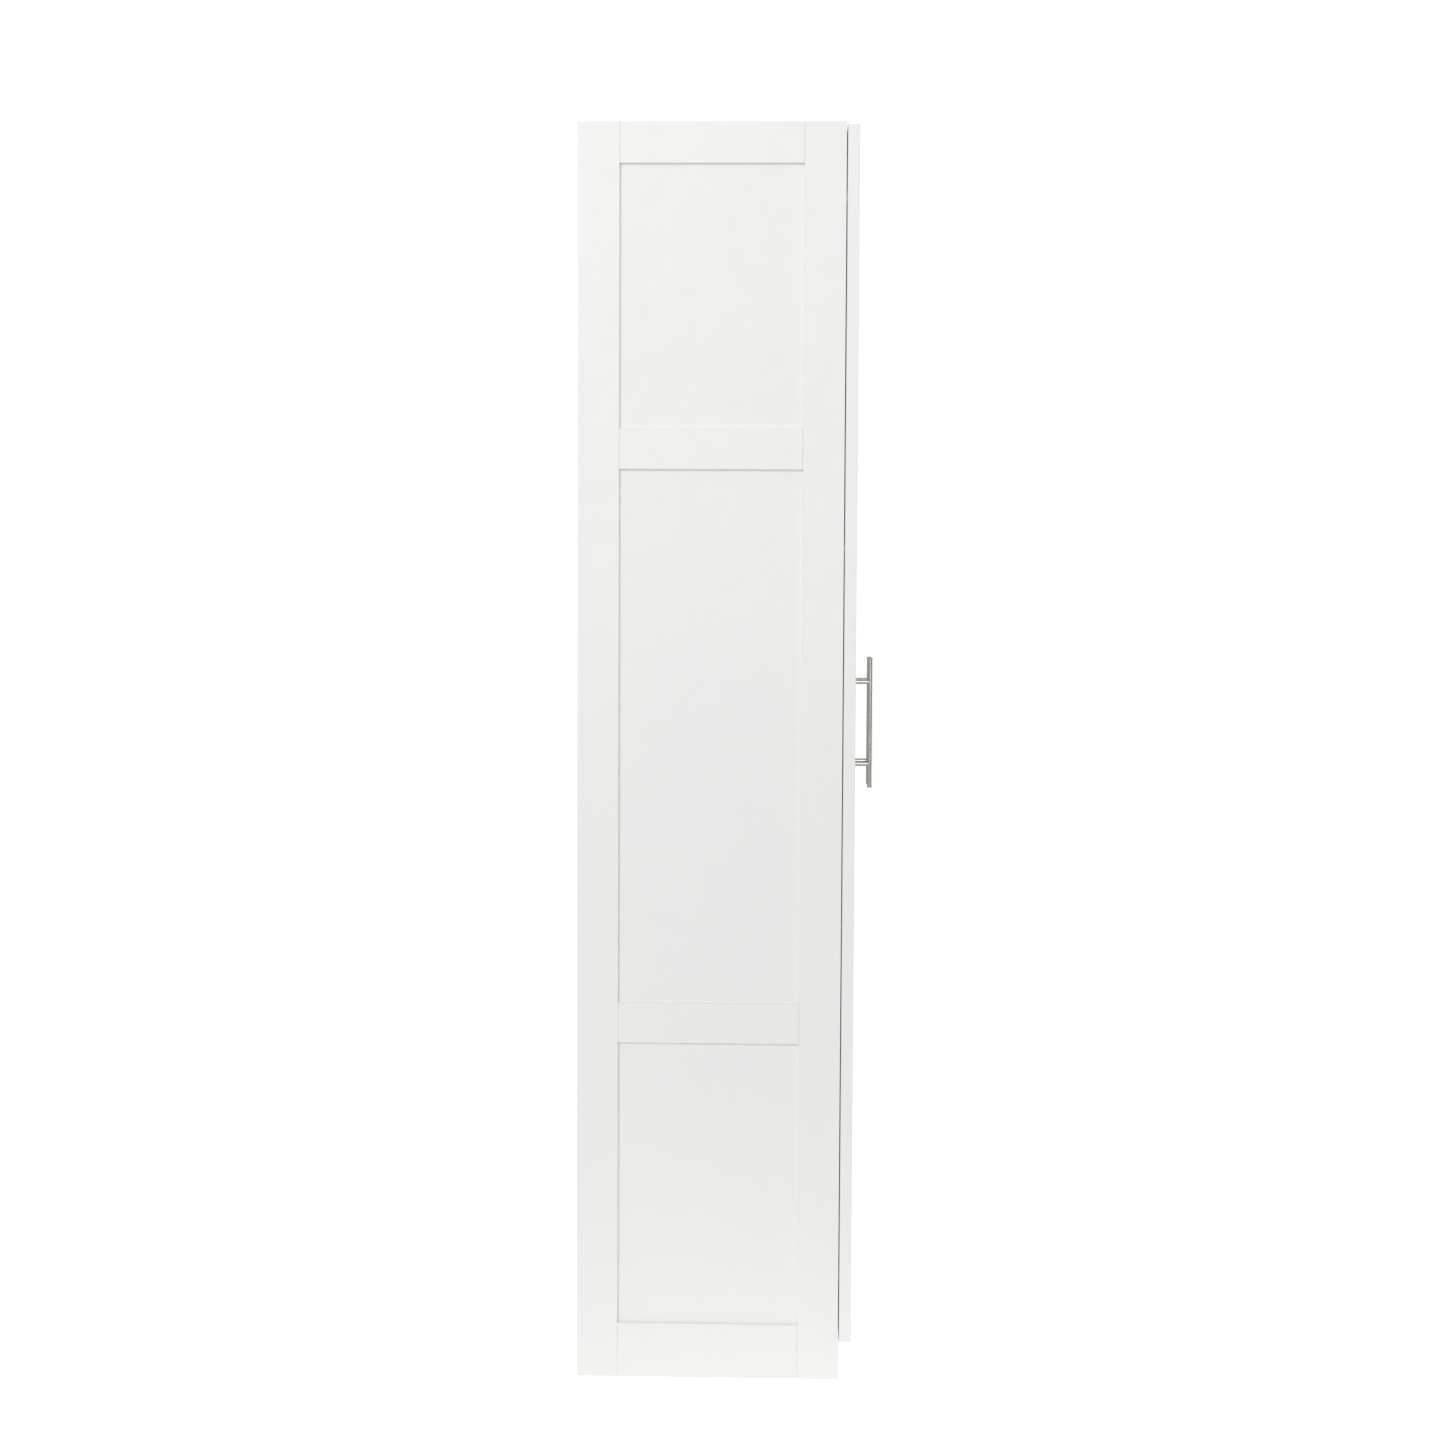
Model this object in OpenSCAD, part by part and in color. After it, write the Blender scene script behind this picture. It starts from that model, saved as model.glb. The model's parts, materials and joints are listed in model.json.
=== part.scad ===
// Tall two-door pantry cabinet with framed sides, framed doors, shelves and bar pulls.
// Millimetres. +Z up, the doors face -Y, and the origin is the bottom centre of the whole object.

/* [Cabinet] */
// Overall height of the cabinet
cabinet_h = 1829; // [1800:1:1880]
// Overall width of the cabinet
cabinet_w = 610; // [560:2:760]
// Depth of a side, from its rear edge to its front edge
side_depth = 385; // [360:1:420]
// Thickness of the fixed boards
board_t = 18; // [16:1:19]
// Height of the underside of the bottom board above the floor
deck_z = 54; // [50:1:55]
// Distance of the toe kick behind the front edges of the sides
kick_setback = 20; // [10:1:22]

/* [Frames] */
// Thickness of the stiles and rails
frame_t = 17.5; // [17:0.5:20]
// Width of every stile
stile_w = 60; // [56:1:64]
// Width of every rail except the bottom rail of a side
rail_w = 59; // [52:1:64]
// Width of the bottom rail of a side
side_bottom_rail_w = 80; // [80:1:90]
// Height of the lower edge of the lower middle rail
lower_rail_z = 497.5; // [490:0.5:505]
// Height of the lower edge of the upper middle rail
upper_rail_z = 1333.5; // [1325:0.5:1345]
// Thickness of the sunk panels
panel_t = 5; // [4:0.5:5]
// Depth of the sunk panels below the show face of the frame
panel_recess = 6; // [5:0.5:7]
// Depth of the groove that holds a panel and the tongues of the rails
groove_d = 8; // [6:0.5:9]

/* [Doors] */
// Gap between the front edge of the carcass and the back of a door
door_gap = 1.2; // [1.2:0.1:1.5]
// Distance of a door's hinge edge inside the side face of the cabinet
door_reveal = 1; // [0.5:0.1:1.5]
// Gap between the two doors
door_centre_gap = 3; // [2:0.5:4]
// Height of the lower edge of the doors above the floor
door_bottom_z = 55.5; // [55:0.5:60]
// Distance of the doors' upper edge below the top of the cabinet
door_top_gap = 4; // [2:0.5:6]

/* [Shelves] */
// Thickness of the loose shelves
shelf_t = 16; // [15:1:18]
// Distance of the loose shelves behind the front edges of the sides
shelf_setback = 20; // [15:1:40]
// Number of holes in each shelf pin row
pin_holes = 5; // [3:2:5]

/* [Handles] */
// Overall length of a bar
bar_length = 202; // [180:1:220]
// Diameter of a bar
bar_d = 8; // [7.5:0.5:12]
// Diameter of a post
post_d = 7; // [6.5:0.5:7.5]
// Distance between the centres of the two posts of a handle
post_spacing = 128; // [96:32:160]
// Distance from the door's face to the centre line of the bar
bar_standoff = 29; // [25:0.5:32]
// Height of the middle of the handles above the floor
handle_z = 952; // [900:1:990]

/* [Wall fixing] */
// Height of the wall rail under the top board
wall_rail_h = 70; // [60:1:90]
// Thickness of the wall rail
wall_rail_t = 15; // [12:1:18]
// Distance between the two wall screw holes
wall_hole_spacing = 406; // [300:1:410]
// Diameter of the wall screw holes
wall_hole_d = 5.5; // [4:0.5:7]

/* [Hidden] */
$fn = 48;
fit = 0.05;             // radial clearance of fasteners in their bores
overcut = 1;            // how far a cutter runs past the face it opens

// Depth positions
bar_reach = bar_standoff + bar_d / 2;
overall_depth = side_depth + door_gap + frame_t + bar_reach;
back_y = overall_depth / 2;
front_y = back_y - side_depth;            // front edges of the carcass
door_back_y = front_y - door_gap;
door_front_y = door_back_y - frame_t;

// Inside of the carcass
inner_w = cabinet_w - 2 * frame_t;
back_t = 3;
back_recess = 2;                          // the back lies this far inside the rear edges
back_rebate = back_t + back_recess;
back_lap = 8;                             // how far the back laps onto each rear stile
board_depth = side_depth - back_rebate;   // boards stop at the back panels
top_z = cabinet_h - board_t;
fixed_z = [for (z = [lower_rail_z, upper_rail_z]) z + rail_w / 2 - board_t / 2];
deck_top = deck_z + board_t;
fixed_board_z = [deck_z, fixed_z[0], fixed_z[1], top_z];   // undersides of the four fixed boards

// Loose shelves, by the height of their undersides
lower_bay = fixed_z[0] - deck_top;
middle_bay = fixed_z[1] - fixed_z[0] - board_t;
upper_bay = top_z - fixed_z[1] - board_t;
shelf_z = [
  deck_top + (lower_bay - shelf_t) / 2,
  fixed_z[0] + board_t + (middle_bay - 2 * shelf_t) / 3,
  fixed_z[0] + board_t + 2 * (middle_bay - 2 * shelf_t) / 3 + shelf_t,
  fixed_z[1] + board_t + (upper_bay - shelf_t) / 2
];
shelf_end_gap = 1;
shelf_back_gap = 6;

// Shelf pins, on rows set in from the front and rear edges of the sides
row_inset = 37;
pin_pitch = 32;
pin_r = 2.5;
pin_depth = 9;
pin_hole_depth = 11;
pin_peg_r = 3.5;
pin_reach = 8;

// Doors
door_w = (cabinet_w - 2 * door_reveal - door_centre_gap) / 2;
door_top_z = cabinet_h - door_top_gap;
door_h = door_top_z - door_bottom_z;
hinge_edge_r = 2.5;                       // easing of the hinge edge, next to the carcass
show_edge_r = 1;                          // easing of the hinge edge, on the show face

// Hinges: heights, and sizes measured from the door's hinge edge and back face
hinge_z = [150, 670, 1220, 1725];
hinge_pin_in = 6.2;
hinge_pin_deep = 8.9;
hinge_pin_r = 1.25;
hinge_pin_half = 7.6;
knuckle_r = 1.8;
knuckle_half = 3.6;
cup_in = 20.5;
cup_r = 17.5;
cup_wall = 0.8;
cup_depth = 12;
cup_floor = 1;
rim_r = 17.8;
rim_t = 0.4;
cup_screw_in = 30;
cup_screw_z = 22.5;
wing_r = 6.5;
// Hinge arms and plates: u from the outer side face, the rest from the carcass front edge
arm_t = 1.8;                              // sheet thickness of the hinge arm
arm_web_u = 28.2;                         // underside of the arm's web, from the outer side face
arm_half = 7.5;
arm_wall = 1.5;
arm_wall_u = 21.5;
arm_front = 0.5;
arm_rear = 60;
plate_t = 2;
plate_wing_half = 25;
clamp_screw_y = 24;
plate_from = 12;                          // plate and its block, from the carcass front edge
plate_len = 44;
plate_wing_w = 14;
block_from = 14;
block_len = 40;
block_side_gap = 0.2;
clamp_screw_depth = 7;
access_hole_y = 49;                       // round hole in the arm's web
access_hole_r = 3;
// Cheeks and screws
cheek_w = 3.6;                            // cheeks that hold the pin, one on each side of the knuckle
cheek_gap = 0.4;
cheek_drop = 4;                           // cheeks end this far below the rim
cup_screw_r = 1.75;
cup_screw_len = 12;
cup_screw_head_r = 3.4;
cup_screw_head_h = 1.3;
plate_screw_head_r = 3.6;
plate_screw_head_h = 1.4;
clamp_screw_r = 2;
clamp_screw_head_r = 3.8;
clamp_screw_head_h = 1.8;
slot_width = 0.28;                        // screw slots: width and length to the head's radius
slot_length = 1.24;
slot_floor = 0.45;                        // slot floor to the head's height
pin_u = door_reveal + hinge_pin_in;       // pin from the outer side face
pin_v = -door_gap - hinge_pin_deep;       // pin from the carcass front edge
cup_u = door_reveal + cup_in;
cup_screw_u = door_reveal + cup_screw_in;
cup_back = -door_gap;

// Cams, bolts and dowels
cam_r = 7.5;
cam_h = 12.5;
cam_in = 34;                              // cam centre from the end of a board
bolt_r = 3;
bolt_in_side = 11;
bolt_end_gap = 0.3;
bolt_slack = 0.5;                         // the bolt's bore in a board is wider than the bolt
bolt_inset = 30;                          // cam bolts from the front and rear edges of a side
dowel_r = 4;
dowel_len = 30;
dowel_in_side = 10;
dowel_inset = 90;
kick_dowel_z = [15, 39];
kick_mid = kick_setback + board_t / 2;
wall_dowel_edge = 12;                     // wall rail dowels from its upper and lower edges
wall_dowel_z = [top_z - wall_rail_h + wall_dowel_edge, top_z - wall_dowel_edge];
wall_rail_mid = side_depth - back_rebate - wall_rail_t / 2;
fixed_board_mid_z = [for (z = fixed_board_z) z + board_t / 2];

// Where the dowels stand, as [depth from the front edge, height]
dowel_at = concat(
  [for (z = fixed_board_mid_z, x = [dowel_inset, side_depth - dowel_inset]) [x, z]],
  [for (z = kick_dowel_z) [kick_mid, z]],
  [for (z = wall_dowel_z) [wall_rail_mid, z]]
);

// Back panels and their screws
back_screw_r = 1.4;
back_screw_len = 14;
back_screw_play = 2;                      // empty length at the bottom of a back screw's bore
back_head_r = 3.2;
back_head_h = 1.6;
board_screw_x = [-inner_w / 3, 0, inner_w / 3];
edge_screw_inset = 40;
edge_screw_pitch = 160;
edge_screw_span = cabinet_h - deck_z - 2 * edge_screw_inset;
edge_screw_gaps = floor(edge_screw_span / edge_screw_pitch);
edge_screw_z = [
  for (i = [0 : edge_screw_gaps]) deck_z + edge_screw_inset + i * edge_screw_span / edge_screw_gaps
];
back_side_gap = 0.5;
back_w = inner_w + 2 * (back_lap - back_side_gap);
back_seam_z = fixed_z[1] + board_t / 2;   // the two back panels meet behind the upper fixed shelf
back_seam_gap = 0.5;
seam_screw_offset = 4.5;

// Heights of the screw rows in a fixed board: two rows where the back panels meet, one on any other
function board_screw_rows(z) =
  z == fixed_z[1] ? [back_seam_z - seam_screw_offset, back_seam_z + seam_screw_offset] : [z + board_t / 2];

// Where the back screws stand, as [x, z]
back_screw_at = concat(
  [for (z = fixed_board_z, row = board_screw_rows(z), x = board_screw_x) [x, row]],
  [for (s = [-1, 1], z = edge_screw_z) [s * (inner_w + back_lap) / 2, z]]
);

// Handles and bumpers
handle_x = door_w - stile_w / 2;
handle_screw_r = 2;
handle_screw_in_post = 8;
handle_screw_head_r = 4;
handle_screw_head_h = 1.8;
handle_hole_slack = 0.25;
bar_chamfer = 0.6;
bumper_r = 4;
bumper_clear = 0.3;                       // between a bumper and the closed door
bumper_t = door_gap - bumper_clear;
bumper_x = 40;
bumper_drop = 3;                          // upper bumpers sit lower, well behind the doors

// Colours
WHITE = [0.93, 0.93, 0.92];
WHITE_PANEL = [0.92, 0.92, 0.91];
WHITE_INSIDE = [0.94, 0.94, 0.93];
NICKEL = [0.66, 0.64, 0.60];
STEEL = [0.72, 0.73, 0.74];
ZINC = [0.60, 0.61, 0.63];
BEECH = [0.80, 0.64, 0.44];
HARDBOARD = [0.88, 0.87, 0.85];
CLEAR = [0.85, 0.86, 0.86];

// ---------- placing ----------

// Everything handed is drawn for the left and mirrored for the right
module on(hand) mirror([hand == "right" ? 1 : 0, 0, 0]) children();

module both_hands() {
  children();
  mirror([1, 0, 0]) children();
}

// Frame coordinates: X across the frame, Y from its show face inward, Z up
module in_side() translate([-cabinet_w / 2, front_y, 0]) mirror([1, 0, 0]) rotate([0, 0, 90]) children();
module in_door() translate([-cabinet_w / 2 + door_reveal, door_front_y, 0]) children();

// Hinge coordinates: X from the outer side face inward, Y backward from the carcass front edge
module at_hinges() for (z = hinge_z) translate([-cabinet_w / 2, front_y, z]) children();

// Cylinders along X and Y, starting at the origin and running in the positive direction
module rod_x(r, h) rotate([0, 90, 0]) cylinder(r = r, h = h);
module rod_y(r, h) rotate([-90, 0, 0]) cylinder(r = r, h = h);

// ---------- framed panels ----------

// Outline of a stile across its width, with the panel groove in its inner edge
module stile_outline(back_r, show_r) {
  difference() {
    union() {
      translate([show_r, 0]) square([stile_w - show_r, show_r]);
      translate([0, show_r]) square([stile_w, frame_t - show_r - back_r]);
      translate([back_r, frame_t - back_r]) square([stile_w - back_r, back_r]);
      translate([show_r, show_r]) circle(r = show_r);
      translate([back_r, frame_t - back_r]) circle(r = back_r);
    }
    translate([stile_w - groove_d, panel_recess]) square([groove_d + overcut, panel_t]);
  }
}

// Outline of a stile with square corners
module square_stile_outline() {
  difference() {
    square([stile_w, frame_t]);
    translate([stile_w - groove_d, panel_recess]) square([groove_d + overcut, panel_t]);
  }
}

// A rail of width w between the stiles of a frame, grooved along the edges that meet a panel
module rail(frame_w, z, w, groove_low, groove_high) {
  tongue_len = frame_w - 2 * stile_w + 2 * groove_d;
  difference() {
    union() {
      translate([stile_w, 0, z]) cube([frame_w - 2 * stile_w, frame_t, w]);
      translate([stile_w - groove_d, panel_recess, z]) cube([tongue_len, panel_t, w]);
    }
    for (cut = [if (groove_low) z - overcut, if (groove_high) z + w - groove_d])
      translate([stile_w - groove_d - overcut, panel_recess, cut])
        cube([tongue_len + 2 * overcut, panel_t, groove_d + overcut]);
  }
}

// The three sunk panels between four rails, a little smaller than their grooves
module sunk_panels(frame_w, low_z, high_z) {
  slack = 0.5;
  reach = groove_d - slack;
  spans = [
    [low_z, lower_rail_z],
    [lower_rail_z + rail_w, upper_rail_z],
    [upper_rail_z + rail_w, high_z]
  ];
  for (s = spans)
    translate([stile_w - reach, panel_recess, s[0] - reach])
      cube([frame_w - 2 * stile_w + 2 * reach, panel_t, s[1] - s[0] + 2 * reach]);
}

// ---------- bores shared by several pieces, in side coordinates ----------

// Shelf pin holes beside each loose shelf, in a row at distance x from the front edge
module pin_row_bores(x) {
  for (z = shelf_z, i = [0 : pin_holes - 1])
    translate([x, frame_t - pin_hole_depth, z - pin_peg_r + (i - (pin_holes - 1) / 2) * pin_pitch])
      rod_y(pin_r, pin_hole_depth + overcut);
}

module bolt_bores(x) {
  for (z = fixed_board_mid_z)
    translate([x, frame_t - bolt_in_side, z]) rod_y(bolt_r + fit, bolt_in_side + overcut);
}

module dowel_bore_in_side(x, z) {
  translate([x, frame_t - dowel_in_side - fit, z]) rod_y(dowel_r + fit, dowel_in_side + overcut);
}

// ---------- sides ----------

module side_front_stile() {
  color(WHITE) in_side() difference() {
    linear_extrude(cabinet_h) square_stile_outline();
    pin_row_bores(row_inset);
    bolt_bores(bolt_inset);
    for (z = hinge_z, s = [-1, 1])
      translate([row_inset, frame_t - pin_hole_depth, z + s * pin_pitch / 2])
        rod_y(pin_r, pin_hole_depth + overcut);
    for (z = kick_dowel_z) dowel_bore_in_side(kick_mid, z);
  }
}

module side_rear_stile() {
  color(WHITE) in_side() difference() {
    translate([side_depth, 0, 0]) mirror([1, 0, 0]) linear_extrude(cabinet_h) square_stile_outline();
    translate([side_depth - back_rebate, frame_t - back_lap, -overcut])
      cube([back_rebate + overcut, back_lap + overcut, cabinet_h + 2 * overcut]);
    pin_row_bores(side_depth - row_inset);
    bolt_bores(side_depth - bolt_inset);
    for (z = wall_dowel_z) dowel_bore_in_side(wall_rail_mid, z);
    for (z = edge_screw_z)
      translate([side_depth - back_rebate - back_screw_len, frame_t - back_lap / 2, z])
        rod_x(back_screw_r + fit, back_screw_len + overcut);
  }
}

// Dowel bores at both ends of a rail that backs a fixed board
module rail_dowel_bores(z) {
  for (x = [dowel_inset, side_depth - dowel_inset]) dowel_bore_in_side(x, z);
}

module side_top_rail() {
  color(WHITE) in_side() difference() {
    rail(side_depth, cabinet_h - rail_w, rail_w, true, false);
    rail_dowel_bores(fixed_board_mid_z[3]);
  }
}

module side_mid_rails() {
  color(WHITE) in_side() {
    difference() {
      rail(side_depth, lower_rail_z, rail_w, true, true);
      rail_dowel_bores(fixed_board_mid_z[1]);
    }
    difference() {
      rail(side_depth, upper_rail_z, rail_w, true, true);
      rail_dowel_bores(fixed_board_mid_z[2]);
    }
  }
}

module side_bottom_rail() {
  color(WHITE) in_side() difference() {
    rail(side_depth, 0, side_bottom_rail_w, false, true);
    rail_dowel_bores(fixed_board_mid_z[0]);
  }
}

module side_panels() {
  color(WHITE_PANEL) in_side() sunk_panels(side_depth, side_bottom_rail_w, cabinet_h - rail_w);
}

// ---------- doors ----------

// Cup, rim screw and handle bores are cut in door coordinates
module cup_bores() {
  for (z = hinge_z) {
    translate([cup_in, frame_t - cup_depth, z]) rod_y(cup_r, cup_depth + overcut);
    for (s = [-1, 1])
      translate([cup_screw_in, frame_t - cup_screw_len, z + s * cup_screw_z])
        rod_y(cup_screw_r + fit, cup_screw_len + overcut);
  }
}

module handle_bores() {
  for (s = [-1, 1])
    translate([handle_x, -overcut, handle_z + s * post_spacing / 2])
      rod_y(handle_screw_r + handle_hole_slack, frame_t + 2 * overcut);
}

module door_hinge_stile() {
  color(WHITE) in_door() difference() {
    translate([0, 0, door_bottom_z]) linear_extrude(door_h) stile_outline(hinge_edge_r, show_edge_r);
    cup_bores();
  }
}

module door_lock_stile() {
  color(WHITE) in_door() difference() {
    translate([door_w, 0, door_bottom_z]) mirror([1, 0, 0]) linear_extrude(door_h)
      square_stile_outline();
    handle_bores();
  }
}

module door_top_rail() color(WHITE) in_door() rail(door_w, door_top_z - rail_w, rail_w, true, false);

module door_mid_rails() {
  color(WHITE) in_door() for (z = [lower_rail_z, upper_rail_z]) rail(door_w, z, rail_w, true, true);
}

module door_bottom_rail() color(WHITE) in_door() rail(door_w, door_bottom_z, rail_w, false, true);

module door_panels() {
  color(WHITE_PANEL) in_door() sunk_panels(door_w, door_bottom_z + rail_w, door_top_z - rail_w);
}

// ---------- hinges ----------

// Cup body pressed into the door, its rim and two wings, and the cheeks that carry the pin
module hinge_cups() {
  cheek_mid = knuckle_half + cheek_gap + cheek_w / 2;
  color(STEEL) at_hinges() difference() {
    union() {
      difference() {
        translate([cup_u, cup_back - cup_depth, 0]) rod_y(cup_r, cup_depth);
        translate([cup_u, cup_back - cup_depth + cup_floor, 0]) rod_y(cup_r - cup_wall, cup_depth);
      }
      difference() {
        union() {
          translate([cup_u, cup_back, 0]) rod_y(rim_r, rim_t);
          translate([cup_screw_u - wing_r, cup_back, -cup_screw_z])
            cube([2 * wing_r, rim_t, 2 * cup_screw_z]);
          for (s = [-1, 1])
            translate([cup_screw_u, cup_back, s * cup_screw_z]) rod_y(wing_r, rim_t);
        }
        translate([cup_u, cup_back - overcut, 0]) rod_y(cup_r - cup_wall, rim_t + 2 * overcut);
      }
      intersection() {
        translate([cup_u, cup_back - cup_depth, 0]) rod_y(cup_r - cup_wall / 2, cup_depth);
        for (s = [-1, 1])
          translate([0, cup_back - cup_depth, s * cheek_mid - cheek_w / 2])
            cube([pin_u + knuckle_r + cheek_gap, cup_depth - cheek_drop, cheek_w]);
      }
    }
    translate([pin_u, pin_v, -hinge_pin_half - fit])
      cylinder(r = hinge_pin_r + fit, h = 2 * (hinge_pin_half + fit));
    for (s = [-1, 1])
      translate([cup_screw_u, cup_back - overcut, s * cup_screw_z])
        rod_y(cup_screw_r + fit, rim_t + 2 * overcut);
  }
}

module hinge_pins() {
  color(STEEL) at_hinges() translate([pin_u, pin_v, -hinge_pin_half])
    cylinder(r = hinge_pin_r, h = 2 * hinge_pin_half);
}

// Round-headed screw with a cross slot: the shank runs in -Y from the origin, the head in +Y
module slotted_screw(shank_r, shank_len, head_r, head_h) {
  slot_w = slot_width * head_r;
  slot_l = slot_length * head_r;
  difference() {
    union() {
      translate([0, -shank_len, 0]) rod_y(shank_r, shank_len);
      rod_y(head_r, head_h);
    }
    for (a = [0, 90])
      rotate([0, a, 0]) translate([-slot_l / 2, slot_floor * head_h, -slot_w / 2])
        cube([slot_l, head_h, slot_w]);
  }
}

module hinge_cup_screws() {
  color(ZINC) at_hinges() for (s = [-1, 1])
    translate([cup_screw_u, cup_back + rim_t, s * cup_screw_z])
      slotted_screw(cup_screw_r, cup_screw_len + rim_t - fit, cup_screw_head_r, cup_screw_head_h);
}

// Sheet arm: channel over the plate, a tongue that reaches into the cup, and the knuckle round the pin
module hinge_arms() {
  web_top = arm_web_u + arm_t;
  hook_v = pin_v - knuckle_r;
  color(STEEL) at_hinges() difference() {
    union() {
      translate([arm_web_u, arm_front, -arm_half]) cube([arm_t, arm_rear - arm_front, 2 * arm_half]);
      for (z = [-arm_half, arm_half - arm_wall])
        translate([arm_wall_u, arm_front, z])
          cube([arm_web_u - arm_wall_u, arm_rear - arm_front, arm_wall]);
      translate([arm_web_u, hook_v, -knuckle_half])
        cube([arm_t, arm_front - hook_v + overcut, 2 * knuckle_half]);
      translate([pin_u, hook_v, -knuckle_half]) cube([web_top - pin_u, arm_t, 2 * knuckle_half]);
      translate([pin_u, pin_v, -knuckle_half]) cylinder(r = knuckle_r, h = 2 * knuckle_half);
    }
    translate([pin_u, pin_v, -knuckle_half - overcut])
      cylinder(r = hinge_pin_r + fit, h = 2 * (knuckle_half + overcut));
    translate([arm_web_u - overcut, clamp_screw_y, 0]) rod_x(clamp_screw_r + fit, arm_t + 2 * overcut);
    translate([arm_web_u - overcut, access_hole_y, 0]) rod_x(access_hole_r, arm_t + 2 * overcut);
  }
}

// Mounting plate: a winged base on the stile and the block that fills the arm's channel
module hinge_plates() {
  block_half = arm_half - arm_wall - block_side_gap;
  wing_end = plate_wing_half - plate_wing_w / 2;
  color(STEEL) at_hinges() difference() {
    union() {
      translate([frame_t, plate_from, -arm_half]) cube([plate_t, plate_len, 2 * arm_half]);
      translate([frame_t, row_inset - plate_wing_w / 2, -wing_end])
        cube([plate_t, plate_wing_w, 2 * wing_end]);
      for (s = [-1, 1])
        translate([frame_t, row_inset, s * wing_end]) rod_x(plate_wing_w / 2, plate_t);
      translate([frame_t + plate_t, block_from, -block_half])
        cube([arm_web_u - frame_t - plate_t, block_len, 2 * block_half]);
    }
    for (s = [-1, 1])
      translate([frame_t - overcut, row_inset, s * pin_pitch / 2])
        rod_x(pin_r + fit, plate_t + 2 * overcut);
    translate([arm_web_u - clamp_screw_depth, clamp_screw_y, 0])
      rod_x(clamp_screw_r + fit, clamp_screw_depth + overcut);
  }
}

module hinge_plate_screws() {
  color(ZINC) at_hinges() {
    for (s = [-1, 1])
      translate([frame_t + plate_t, row_inset, s * pin_pitch / 2]) rotate([0, 0, -90])
        slotted_screw(pin_r - fit, plate_t + pin_depth, plate_screw_head_r, plate_screw_head_h);
    translate([arm_web_u + arm_t, clamp_screw_y, 0]) rotate([0, 0, -90])
      slotted_screw(clamp_screw_r, arm_t + clamp_screw_depth - fit, clamp_screw_head_r, clamp_screw_head_h);
  }
}

// ---------- handles ----------

// Handle coordinates: door coordinates moved to the middle of the handle
module at_handle() in_door() translate([handle_x, 0, handle_z]) children();

module handle_bar() {
  r = bar_d / 2;
  chamfered_end = r - bar_chamfer;
  color(NICKEL) at_handle() translate([0, -bar_standoff, -bar_length / 2]) rotate_extrude() polygon([
    [0, 0], [chamfered_end, 0], [r, bar_chamfer],
    [r, bar_length - bar_chamfer], [chamfered_end, bar_length], [0, bar_length]
  ]);
}

module handle_posts() {
  color(NICKEL) at_handle() for (s = [-1, 1]) translate([0, 0, s * post_spacing / 2]) difference() {
    translate([0, -bar_standoff, 0]) rod_y(post_d / 2, bar_standoff);
    translate([0, -bar_standoff, -bar_d]) cylinder(r = bar_d / 2, h = 2 * bar_d);
    translate([0, -handle_screw_in_post - fit, 0])
      rod_y(handle_screw_r + fit, handle_screw_in_post + fit + overcut);
  }
}

module handle_screws() {
  color(ZINC) at_handle() for (s = [-1, 1])
    translate([0, frame_t, s * post_spacing / 2])
      slotted_screw(handle_screw_r, frame_t + handle_screw_in_post, handle_screw_head_r, handle_screw_head_h);
}

// ---------- boards ----------

// Cam and dowel bores in one end of a board, mirrored to the other end
module board_end_bores(z) {
  both_hands() {
    for (y = [front_y + bolt_inset, back_y - bolt_inset]) {
      translate([-inner_w / 2 + cam_in, y, z - overcut])
        cylinder(r = cam_r + fit, h = cam_h + fit + overcut);
      translate([-inner_w / 2 - overcut, y, z + board_t / 2]) rod_x(bolt_r + bolt_slack, cam_in);
    }
    for (y = [front_y + dowel_inset, back_y - dowel_inset])
      translate([-inner_w / 2 - overcut, y, z + board_t / 2])
        rod_x(dowel_r + fit, dowel_len - dowel_in_side + fit + overcut);
  }
}

// A board fixed between the sides, with its underside at z
module fixed_board(z) {
  color(WHITE_INSIDE) difference() {
    translate([-inner_w / 2, front_y, z]) cube([inner_w, board_depth, board_t]);
    board_end_bores(z);
    for (x = board_screw_x, screw_z = board_screw_rows(z))
      translate([x, back_y - back_rebate - back_screw_len, screw_z])
        rod_y(back_screw_r + fit, back_screw_len + overcut);
  }
}

module loose_shelf(i) {
  color(WHITE_INSIDE)
    translate([-inner_w / 2 + shelf_end_gap, front_y + shelf_setback, shelf_z[i]])
      cube([inner_w - 2 * shelf_end_gap, board_depth - shelf_setback - shelf_back_gap, shelf_t]);
}

module toe_kick() {
  color(WHITE) difference() {
    translate([-inner_w / 2, front_y + kick_setback, 0]) cube([inner_w, board_t, deck_z]);
    both_hands() for (z = kick_dowel_z)
      translate([-inner_w / 2 - overcut, front_y + kick_mid, z])
        rod_x(dowel_r + fit, dowel_len - dowel_in_side + fit + overcut);
  }
}

module wall_hole_cutters() {
  rail_front = back_y - back_rebate - wall_rail_t;
  for (s = [-1, 1])
    translate([s * wall_hole_spacing / 2, rail_front - overcut, top_z - wall_rail_h / 2])
      rod_y(wall_hole_d / 2, wall_rail_t + back_rebate + 2 * overcut);
}

module wall_rail() {
  color(WHITE_INSIDE) difference() {
    translate([-inner_w / 2, back_y - back_rebate - wall_rail_t, top_z - wall_rail_h])
      cube([inner_w, wall_rail_t, wall_rail_h]);
    both_hands() for (z = wall_dowel_z)
      translate([-inner_w / 2 - overcut, front_y + wall_rail_mid, z])
        rod_x(dowel_r + fit, dowel_len - dowel_in_side + fit + overcut);
    wall_hole_cutters();
  }
}

// ---------- back ----------

module back_panel(z0, z1) {
  color(HARDBOARD) difference() {
    translate([-back_w / 2, back_y - back_rebate, z0]) cube([back_w, back_t, z1 - z0]);
    for (p = back_screw_at)
      translate([p[0], back_y - back_rebate - overcut, p[1]]) rod_y(back_screw_r + fit, back_t + 2 * overcut);
    wall_hole_cutters();
  }
}

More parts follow.
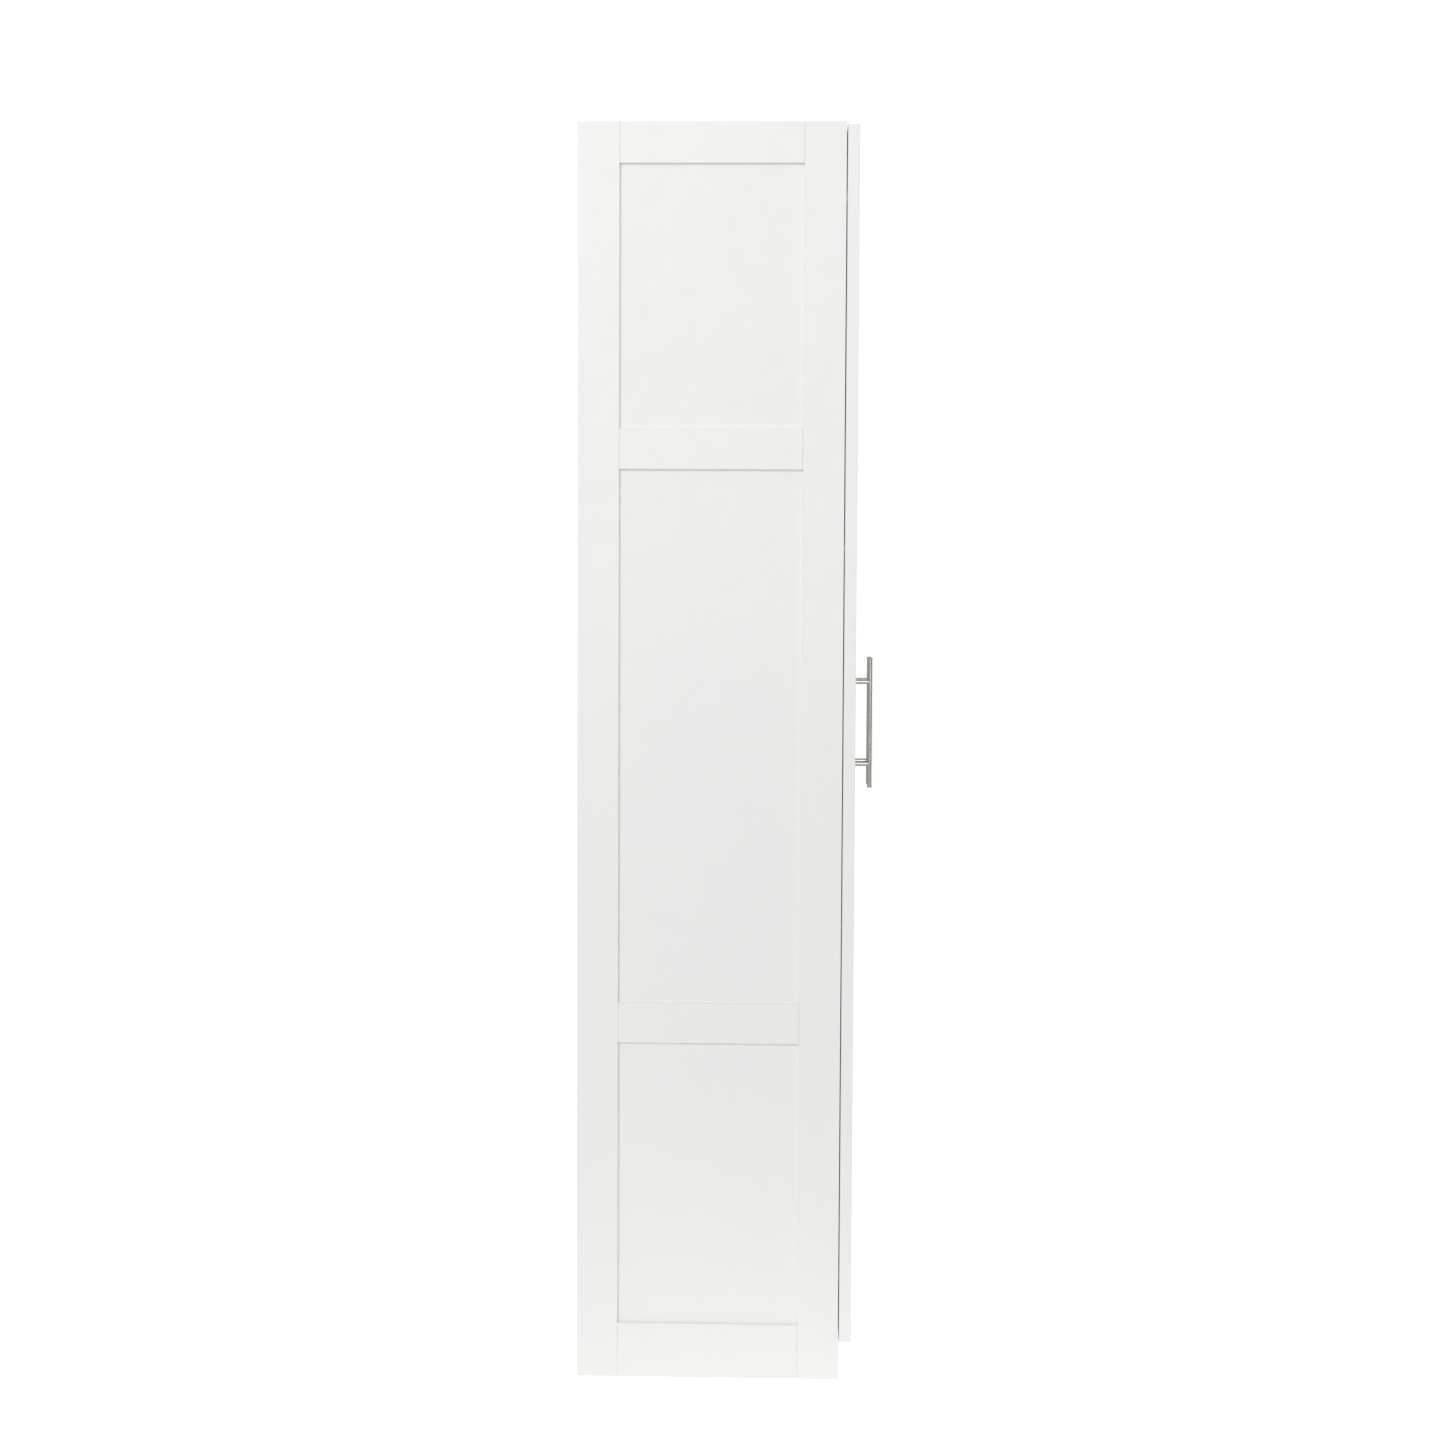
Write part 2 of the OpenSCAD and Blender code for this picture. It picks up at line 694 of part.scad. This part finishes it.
module back_screws() {
  color(ZINC) for (p = back_screw_at)
    translate([p[0], back_y - back_recess, p[1]])
      slotted_screw(back_screw_r, back_screw_len + back_t - back_screw_play, back_head_r, back_head_h);
}

// ---------- shelf pins, cams, dowels, bumpers ----------

module shelf_pins() {
  color(STEEL) both_hands() for (z = shelf_z, y = [front_y + row_inset, back_y - row_inset])
    translate([-inner_w / 2, y, z - pin_peg_r]) {
      translate([-pin_depth, 0, 0]) rod_x(pin_r - fit, pin_depth);
      rod_x(pin_peg_r, pin_reach);
    }
}

module cam_locks() {
  slot_w = 2;
  slot_l = 8;
  slot_h = 3;
  color(ZINC) both_hands()
    for (z = fixed_board_z, y = [front_y + bolt_inset, back_y - bolt_inset])
      translate([-inner_w / 2 + cam_in, y, z]) difference() {
        cylinder(r = cam_r, h = cam_h);
        for (a = [0, 90])
          rotate(a) translate([-slot_l / 2, -slot_w / 2, -overcut])
            cube([slot_l, slot_w, slot_h + overcut]);
      }
}

module cam_bolts() {
  in_side = bolt_in_side - bolt_end_gap;
  in_board = cam_in - cam_r - bolt_end_gap;
  color(STEEL) both_hands()
    for (z = fixed_board_mid_z, y = [front_y + bolt_inset, back_y - bolt_inset])
      translate([-inner_w / 2 - in_side, y, z]) rod_x(bolt_r, in_side + in_board);
}

module dowels() {
  color(BEECH) both_hands() for (p = dowel_at)
    translate([-inner_w / 2 - dowel_in_side, front_y + p[0], p[1]]) rod_x(dowel_r, dowel_len);
}

module door_bumpers() {
  color(CLEAR) both_hands() for (z = [fixed_board_mid_z[0], fixed_board_mid_z[3] - bumper_drop])
    translate([-bumper_x, front_y - bumper_t, z]) rod_y(bumper_r, bumper_t);
}

// ---------- nodes ----------

for (h = ["left", "right"]) on(h) {
  side_front_stile();
  side_rear_stile();
  side_top_rail();
  side_mid_rails();
  side_bottom_rail();
  side_panels();
  door_hinge_stile();
  door_lock_stile();
  door_top_rail();
  door_mid_rails();
  door_bottom_rail();
  door_panels();
  hinge_cups();
  hinge_pins();
  hinge_cup_screws();
  hinge_arms();
  hinge_plates();
  hinge_plate_screws();
  handle_bar();
  handle_posts();
  handle_screws();
}
fixed_board(top_z);  // top_board
fixed_board(deck_z);  // bottom_board
fixed_board(fixed_z[0]);  // lower_fixed_shelf
fixed_board(fixed_z[1]);  // upper_fixed_shelf
for (i = [0 : len(shelf_z) - 1])
  loose_shelf(i);
back_panel(deck_z, back_seam_z - back_seam_gap / 2);  // back_panel_lower
back_panel(back_seam_z + back_seam_gap / 2, cabinet_h);  // back_panel_upper
toe_kick();
wall_rail();
shelf_pins();
cam_locks();
cam_bolts();
dowels();
back_screws();
door_bumpers();
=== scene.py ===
import json
import math

import bpy
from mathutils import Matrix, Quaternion, Vector


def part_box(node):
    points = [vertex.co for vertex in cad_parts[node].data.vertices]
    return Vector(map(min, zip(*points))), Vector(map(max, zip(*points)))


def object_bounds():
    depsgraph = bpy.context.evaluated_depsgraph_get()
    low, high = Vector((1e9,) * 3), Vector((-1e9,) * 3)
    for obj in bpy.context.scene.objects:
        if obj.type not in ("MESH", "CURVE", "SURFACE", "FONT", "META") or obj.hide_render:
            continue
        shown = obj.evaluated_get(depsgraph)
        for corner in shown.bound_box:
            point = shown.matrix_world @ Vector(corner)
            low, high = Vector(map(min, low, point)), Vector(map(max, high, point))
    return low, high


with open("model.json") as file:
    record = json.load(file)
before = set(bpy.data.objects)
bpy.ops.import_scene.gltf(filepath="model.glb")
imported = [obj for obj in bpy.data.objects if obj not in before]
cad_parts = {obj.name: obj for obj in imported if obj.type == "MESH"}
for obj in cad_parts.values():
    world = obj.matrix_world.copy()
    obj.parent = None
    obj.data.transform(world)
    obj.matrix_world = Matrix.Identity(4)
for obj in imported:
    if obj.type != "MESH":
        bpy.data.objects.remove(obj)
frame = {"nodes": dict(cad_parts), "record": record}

cad_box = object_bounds()
low, high = cad_box
height = high.z - low.z

# ---------- names and sizes ----------

HANDS = ("left", "right")
MM = 0.001
WHITE = (1.0, 1.0, 1.0, 1.0)

# the camera's place, from the rear stile of the left side
CAMERA_DISTANCE = 3.5355
CAMERA_FORWARD = 0.3222
CAMERA_HEIGHT = 1.1889
AIM_BACK = 0.1112
AIM_HEIGHT = 0.9682
CAMERA_TILT = math.radians(0.27)

# brightness of the stage: what the camera sees, and the dimmer light it gives
BACKDROP_SEEN = 1.05
ROOM_LIGHT = 0.5
FLOOR_SEEN = 0.5
FLOOR_LIGHT = 0.21

# the floor's size and where it fades out, in metres from the cabinet's middle
FLOOR_HALF = 1.2
FADE_START = 0.55
FADE_END = 1.15
FLOOR_DROP = 0.2 * MM


# ---------- camera ----------

def make_camera():
    """Looks at the left side, from a little behind its middle and a little above the handles."""
    side_low, side_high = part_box("left_side_rear_stile")
    place = Vector((side_low.x - CAMERA_DISTANCE, side_high.y - CAMERA_FORWARD, CAMERA_HEIGHT))
    aim = Vector((side_low.x, place.y + AIM_BACK, AIM_HEIGHT))
    camera_data = bpy.data.cameras.new("camera")
    camera_data.sensor_width = 36.0
    camera_data.lens = 60.87
    camera_data.clip_end = 100.0
    camera = bpy.data.objects.new("camera", camera_data)
    bpy.context.scene.collection.objects.link(camera)
    tilt = Quaternion((0.0, 0.0, 1.0), CAMERA_TILT)
    camera.rotation_mode = "QUATERNION"
    camera.rotation_quaternion = (aim - place).to_track_quat("-Z", "Y") @ tilt
    camera.location = place
    bpy.context.scene.camera = camera


# ---------- floor, sky and lights ----------

def make_world():
    """White where the camera sees it, and a dimmer grey room for light and reflections."""
    world = bpy.data.worlds.new("studio")
    bpy.context.scene.world = world
    world.use_nodes = True
    nodes = world.node_tree.nodes
    links = world.node_tree.links
    nodes.clear()
    room = nodes.new("ShaderNodeBackground")
    room.inputs["Color"].default_value = (0.97, 0.985, 1.0, 1.0)
    room.inputs["Strength"].default_value = ROOM_LIGHT
    backdrop = nodes.new("ShaderNodeBackground")
    backdrop.inputs["Color"].default_value = WHITE
    backdrop.inputs["Strength"].default_value = BACKDROP_SEEN
    ray = nodes.new("ShaderNodeLightPath")
    mix = nodes.new("ShaderNodeMixShader")
    out = nodes.new("ShaderNodeOutputWorld")
    links.new(ray.outputs["Is Camera Ray"], mix.inputs["Fac"])
    links.new(room.outputs["Background"], mix.inputs[1])
    links.new(backdrop.outputs["Background"], mix.inputs[2])
    links.new(mix.outputs["Shader"], out.inputs["Surface"])


def add_light(name, place, aim, size, watts, colour=(1.0, 1.0, 1.0)):
    light_data = bpy.data.lights.new(name, "AREA")
    light_data.shape = "RECTANGLE"
    light_data.size = size[0]
    light_data.size_y = size[1]
    light_data.energy = watts
    light_data.color = colour
    light = bpy.data.objects.new(name, light_data)
    light.location = place
    light.rotation_mode = "QUATERNION"
    light.rotation_quaternion = (Vector(aim) - Vector(place)).to_track_quat("-Z", "Y")
    bpy.context.scene.collection.objects.link(light)


def make_lights():
    middle = Vector((0.0, 0.0, 0.6 * height))
    add_light("key", (-5.2, 1.4, 2.8), middle, (3.6, 3.6), 136.0, (1.0, 0.995, 0.98))
    add_light("overhead", (-0.9, -0.4, 4.6), (-0.5, 0.0, 0.0), (3.0, 3.0), 8.0)
    add_light("strip", (-5.0, -0.4, 1.25), (0.0, -0.2, 1.0), (0.35, 2.2), 12.0)
    add_light("front_fill", (1.8, -4.2, 1.4), middle, (2.4, 2.4), 60.0)
    add_light("far_fill", (4.0, 1.5, 2.6), middle, (2.4, 2.4), 40.0)


def make_floor():
    """A pale matt floor round the cabinet that fades into the white backdrop further out.

    Like the backdrop, it is brighter to the camera than the light that it gives.
    """
    mesh = bpy.data.meshes.new("floor")
    half = FLOOR_HALF
    corners = [(-half, -half, 0.0), (half, -half, 0.0), (half, half, 0.0), (-half, half, 0.0)]
    mesh.from_pydata(corners, [], [(0, 1, 2, 3)])
    floor = bpy.data.objects.new("floor", mesh)
    floor.location.z = low.z - FLOOR_DROP
    bpy.context.scene.collection.objects.link(floor)
    material = bpy.data.materials.new("floor_paint")
    material.use_nodes = True
    nodes = material.node_tree.nodes
    links = material.node_tree.links
    paint = nodes["Principled BSDF"]
    paint.inputs["Base Color"].default_value = (0.8, 0.8, 0.8, 1.0)
    paint.inputs["Roughness"].default_value = 0.9
    paint.inputs["Specular IOR Level"].default_value = 0.1
    paint.inputs["Emission Color"].default_value = WHITE
    ray = nodes.new("ShaderNodeLightPath")
    glow = nodes.new("ShaderNodeMapRange")
    glow.inputs["To Min"].default_value = FLOOR_LIGHT
    glow.inputs["To Max"].default_value = FLOOR_SEEN
    links.new(ray.outputs["Is Camera Ray"], glow.inputs["Value"])
    links.new(glow.outputs["Result"], paint.inputs["Emission Strength"])
    radius = nodes.new("ShaderNodeVectorMath")
    radius.operation = "LENGTH"
    fade = nodes.new("ShaderNodeMapRange")
    fade.interpolation_type = "SMOOTHSTEP"
    fade.inputs["From Min"].default_value = FADE_START
    fade.inputs["From Max"].default_value = FADE_END
    clear = nodes.new("ShaderNodeBsdfTransparent")
    mix = nodes.new("ShaderNodeMixShader")
    links.new(nodes.new("ShaderNodeTexCoord").outputs["Object"], radius.inputs[0])
    links.new(radius.outputs["Value"], fade.inputs["Value"])
    links.new(fade.outputs["Result"], mix.inputs["Fac"])
    links.new(paint.outputs["BSDF"], mix.inputs[1])
    links.new(clear.outputs["BSDF"], mix.inputs[2])
    links.new(mix.outputs["Shader"], nodes["Material Output"].inputs["Surface"])
    mesh.materials.append(material)


# ---------- materials ----------

class Shader:
    """A Principled material whose textures all read the object's own coordinates."""

    def __init__(self, name, roughness, metallic=0.0, specular=0.5):
        self.material = bpy.data.materials.new(name)
        self.material.use_nodes = True
        self.nodes = self.material.node_tree.nodes
        self.links = self.material.node_tree.links
        self.main = self.nodes["Principled BSDF"]
        self.main.inputs["Roughness"].default_value = roughness
        self.main.inputs["Metallic"].default_value = metallic
        self.main.inputs["Specular IOR Level"].default_value = specular
        self.place = self.nodes.new("ShaderNodeTexCoord").outputs["Object"]

    def set(self, socket, value):
        self.main.inputs[socket].default_value = value

    def stretched(self, scale):
        """Object coordinates multiplied by scale, for grain that runs one way."""
        mapping = self.nodes.new("ShaderNodeMapping")
        mapping.inputs["Scale"].default_value = scale
        self.links.new(self.place, mapping.inputs["Vector"])
        return mapping.outputs["Vector"]

    def noise(self, scale, detail=3.0, rough=0.5, vector=None):
        node = self.nodes.new("ShaderNodeTexNoise")
        node.inputs["Scale"].default_value = scale
        node.inputs["Detail"].default_value = detail
        node.inputs["Roughness"].default_value = rough
        self.links.new(vector or self.place, node.inputs["Vector"])
        return node.outputs["Fac"]

    def remap(self, value, low_out, high_out, low_in=0.3, high_in=0.7):
        node = self.nodes.new("ShaderNodeMapRange")
        node.inputs["From Min"].default_value = low_in
        node.inputs["From Max"].default_value = high_in
        node.inputs["To Min"].default_value = low_out
        node.inputs["To Max"].default_value = high_out
        self.links.new(value, node.inputs["Value"])
        return node.outputs["Result"]

    def blend(self, factor, colour_a, colour_b):
        node = self.nodes.new("ShaderNodeMix")
        node.data_type = "RGBA"
        self.links.new(factor, node.inputs["Factor"])
        for socket, colour in ((node.inputs["A"], colour_a), (node.inputs["B"], colour_b)):
            if isinstance(colour, tuple):
                socket.default_value = (*colour, 1.0)
            else:
                self.links.new(colour, socket)
        return node.outputs["Result"]

    def colour(self, value):
        self.links.new(value, self.main.inputs["Base Color"])

    def roughness(self, value):
        self.links.new(value, self.main.inputs["Roughness"])

    def bump(self, value, depth, strength=1.0):
        """depth is the height in metres between the lowest and the highest value."""
        node = self.nodes.new("ShaderNodeBump")
        node.inputs["Distance"].default_value = depth
        node.inputs["Strength"].default_value = strength
        self.links.new(value, node.inputs["Height"])
        if self.main.inputs["Normal"].is_linked:
            before = self.main.inputs["Normal"].links[0].from_socket
            self.links.new(before, node.inputs["Normal"])
        self.links.new(node.outputs["Normal"], self.main.inputs["Normal"])


def lacquer(name, light, dark, roughness, peel=0.012 * MM):
    """Satin white lacquer: faint cloudy tone, fine orange peel, and a sheen that varies a little."""
    shader = Shader(name, roughness)
    cloud = shader.noise(2.2, 4.0)
    shader.colour(shader.blend(shader.remap(cloud, 0.0, 1.0), light, dark))
    shader.roughness(shader.remap(shader.noise(35.0), roughness - 0.04, roughness + 0.05))
    shader.bump(shader.noise(650.0, 2.0), peel)
    return shader.material


def laminate(name, light, dark):
    """Board laminate: a fine pressed texture with short grain along the board."""
    shader = Shader(name, 0.45)
    grain = shader.noise(1.0, 4.0, vector=shader.stretched((40.0, 900.0, 900.0)))
    shader.colour(shader.blend(shader.remap(grain, 0.0, 1.0), light, dark))
    shader.roughness(shader.remap(shader.noise(60.0), 0.4, 0.52))
    shader.bump(grain, 0.02 * MM)
    return shader.material


def hardboard(name):
    """White-faced hardboard with a faint fibre mottle."""
    shader = Shader(name, 0.6)
    fibre = shader.noise(1.0, 5.0, vector=shader.stretched((260.0, 260.0, 90.0)))
    shader.colour(shader.blend(shader.remap(fibre, 0.0, 1.0), (0.80, 0.79, 0.76), (0.74, 0.73, 0.70)))
    shader.roughness(shader.remap(fibre, 0.52, 0.68))
    shader.bump(fibre, 0.05 * MM)
    return shader.material


def brushed(name, light, dark, roughness, along):
    """Brushed metal: streaks along one axis in tone, roughness and relief."""
    shader = Shader(name, roughness, metallic=1.0)
    scale = tuple(30.0 if axis == along else 3500.0 for axis in "xyz")
    streak = shader.noise(1.0, 3.0, vector=shader.stretched(scale))
    shader.colour(shader.blend(shader.remap(streak, 0.0, 1.0), light, dark))
    shader.roughness(shader.remap(streak, roughness - 0.06, roughness + 0.08))
    shader.bump(streak, 0.01 * MM)
    shader.set("Specular Tint", (0.4, 0.4, 0.4, 1.0))
    return shader.material


def plated(name, light, dark, roughness):
    """Plated steel: a fine frost and a little cloudiness."""
    shader = Shader(name, roughness, metallic=1.0)
    cloud = shader.noise(120.0, 4.0)
    shader.colour(shader.blend(shader.remap(cloud, 0.0, 1.0), light, dark))
    shader.roughness(shader.remap(shader.noise(400.0), roughness - 0.06, roughness + 0.08))
    shader.bump(shader.noise(2500.0, 2.0), 0.006 * MM)
    return shader.material


def beech(name):
    """Turned beech with its grain along the dowel."""
    shader = Shader(name, 0.55)
    grain = shader.noise(1.0, 6.0, 0.6, vector=shader.stretched((60.0, 900.0, 900.0)))
    shader.colour(shader.blend(shader.remap(grain, 0.0, 1.0), (0.66, 0.45, 0.25), (0.50, 0.31, 0.16)))
    shader.roughness(shader.remap(grain, 0.48, 0.62))
    shader.bump(grain, 0.06 * MM)
    return shader.material


def soft_plastic(name):
    """Milky clear bumper plastic."""
    shader = Shader(name, 0.3)
    shader.set("Transmission Weight", 0.6)
    shader.set("IOR", 1.45)
    cloud = shader.noise(300.0)
    shader.colour(shader.blend(shader.remap(cloud, 0.0, 1.0), (0.86, 0.88, 0.88), (0.80, 0.82, 0.82)))
    shader.bump(cloud, 0.02 * MM)
    return shader.material


NICKEL = ((0.60, 0.58, 0.545), (0.44, 0.425, 0.40), 0.19)

SLOT_MATERIALS = {
    "frame_white": lacquer("frame_white", (0.870, 0.868, 0.850), (0.855, 0.853, 0.834), 0.42),
    "panel_white": lacquer("panel_white", (0.868, 0.870, 0.852), (0.852, 0.855, 0.838), 0.46),
    "board_white": laminate("board_white", (0.86, 0.86, 0.845), (0.84, 0.84, 0.822)),
    "hardboard_white": hardboard("hardboard_white"),
    "brushed_nickel": brushed("brushed_nickel", *NICKEL, "z"),
    "hinge_steel": plated("hinge_steel", (0.74, 0.74, 0.75), (0.66, 0.66, 0.67), 0.24),
    "zinc_steel": plated("zinc_steel", (0.62, 0.64, 0.68), (0.52, 0.54, 0.58), 0.34),
    "zinc_alloy": plated("zinc_alloy", (0.56, 0.57, 0.60), (0.46, 0.47, 0.50), 0.45),
    "beech": beech("beech"),
    "clear_bumper": soft_plastic("clear_bumper"),
}
NODE_MATERIALS = {}
for hand in HANDS:
    NODE_MATERIALS[f"{hand}_handle_posts"] = brushed(f"{hand}_post_nickel", *NICKEL, "y")


def paint_frame():
    """Gives every CAD node its own material, or the one of its slot."""
    for part in frame["record"]["subparts"]:
        name = part["node"]
        node = frame["nodes"][name]
        node.data.materials.clear()
        node.data.materials.append(NODE_MATERIALS.get(name, SLOT_MATERIALS[part["material_slot"]]))


# ---------- edges ----------

EDGE_WIDTHS = {
    "frame_white": 0.2 * MM,
    "panel_white": 0.2 * MM,
    "board_white": 0.5 * MM,
    "hardboard_white": 0.2 * MM,
    "brushed_nickel": 0.2 * MM,
    "hinge_steel": 0.15 * MM,
    "zinc_steel": 0.15 * MM,
    "zinc_alloy": 0.2 * MM,
    "beech": 0.4 * MM,
    "clear_bumper": 0.4 * MM,
}
FLAT_SLOTS = ("frame_white", "panel_white", "board_white", "hardboard_white")
RAIL_EDGE = 0.9 * MM
STILE_EDGE = 0.5 * MM
WELD_DISTANCE = 0.005 * MM
FLAT_ANGLE = math.radians(1.0)
SHARP_ANGLE = math.radians(40.0)


def edge_width(name, slot):
    """Frame members are eased most, so a shallow V groove shows where a rail butts against a stile.

    The door's hinge stiles keep their slot's width: a wider one would overrun their eased back corner.
    """
    if name.endswith(("front_stile", "rear_stile", "lock_stile")):
        return STILE_EDGE
    if name.endswith(("_rail", "_rails")) and slot == "frame_white":
        return RAIL_EDGE
    return EDGE_WIDTHS[slot]


def ease_edges():
    """Every sharp edge gets the small rounding that sanding, banding or pressing leaves.

    Boards and frame members first have the triangles of each flat face joined, so the rounding
    follows the true edges only.
    """
    for part in frame["record"]["subparts"]:
        name = part["node"]
        node = frame["nodes"][name]
        weld = node.modifiers.new("weld", "WELD")
        weld.merge_threshold = WELD_DISTANCE
        if part["material_slot"] in FLAT_SLOTS:
            flats = node.modifiers.new("flats", "DECIMATE")
            flats.decimate_type = "DISSOLVE"
            flats.angle_limit = FLAT_ANGLE
        bevel = node.modifiers.new("ease", "BEVEL")
        bevel.width = edge_width(name, part["material_slot"])
        bevel.segments = 2
        bevel.limit_method = "ANGLE"
        bevel.angle_limit = SHARP_ANGLE
        bevel.use_clamp_overlap = False
        shading = node.modifiers.new("shading", "WEIGHTED_NORMAL")
        shading.mode = "FACE_AREA_WITH_ANGLE"


make_camera()
make_world()
make_lights()
make_floor()
paint_frame()
ease_edges()

bpy.context.scene.view_settings.view_transform = "Standard"
